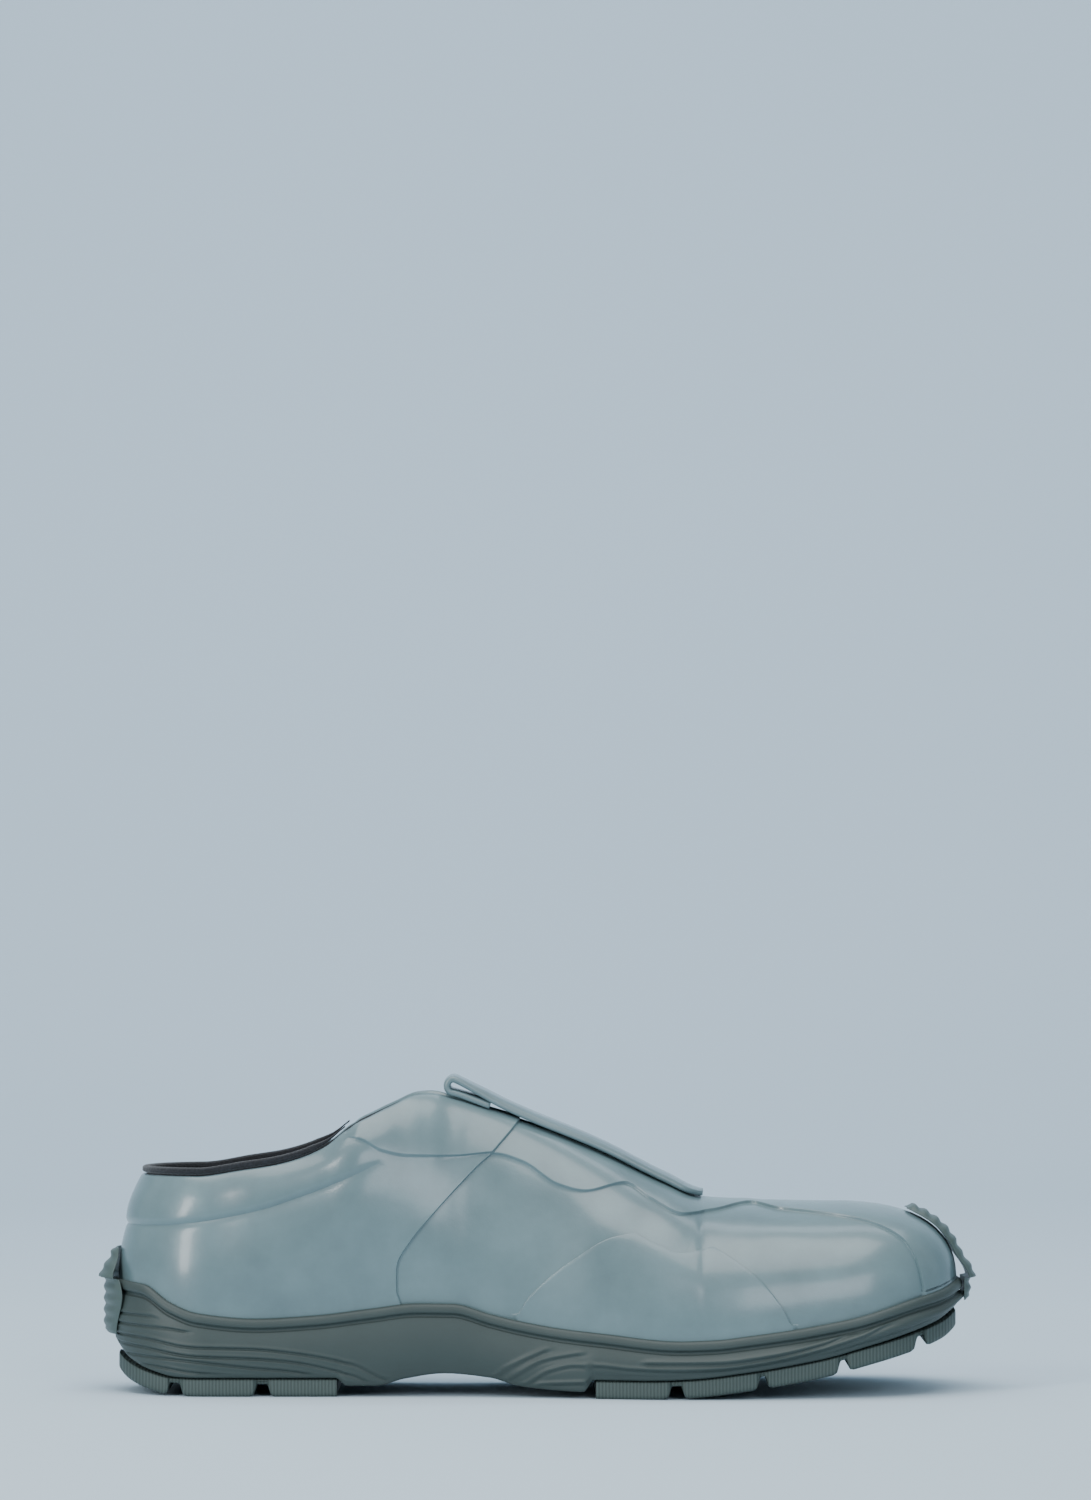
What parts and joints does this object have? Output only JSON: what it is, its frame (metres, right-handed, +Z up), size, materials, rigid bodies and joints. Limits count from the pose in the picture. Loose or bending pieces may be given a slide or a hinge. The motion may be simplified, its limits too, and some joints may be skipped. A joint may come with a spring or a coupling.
{
  "type": "slip-on shoe",
  "caption": "Low leather slip-on shoe for the right foot, with a wavy eyestay, a centre pull strap and a stitched rubber cup sole with lugs.",
  "frame": {"origin": "on the floor under the middle of the shoe's bounding box", "axes": "+X towards the toe, -Y towards the outer side of the foot, +Z up"},
  "size_m": [0.3015, 0.105, 0.1086],
  "materials": {
    "leather": "polished grey-green leather",
    "sole_rubber": "satin moulded rubber",
    "tread_rubber": "matte finely ribbed rubber",
    "footbed": "black textile over foam",
    "black_textile": "matte black textile"
  },
  "bodies": {
    "root": {"upper": "leather", "sole": "sole_rubber", "heel_tread": "tread_rubber", "forefoot_tread": "tread_rubber", "insole": "footbed", "gore": "black_textile", "pull_strap": "leather", "collar_binding": "black_textile", "heel_tab": "sole_rubber", "toe_guard": "sole_rubber"}
  },
  "joints": []
}
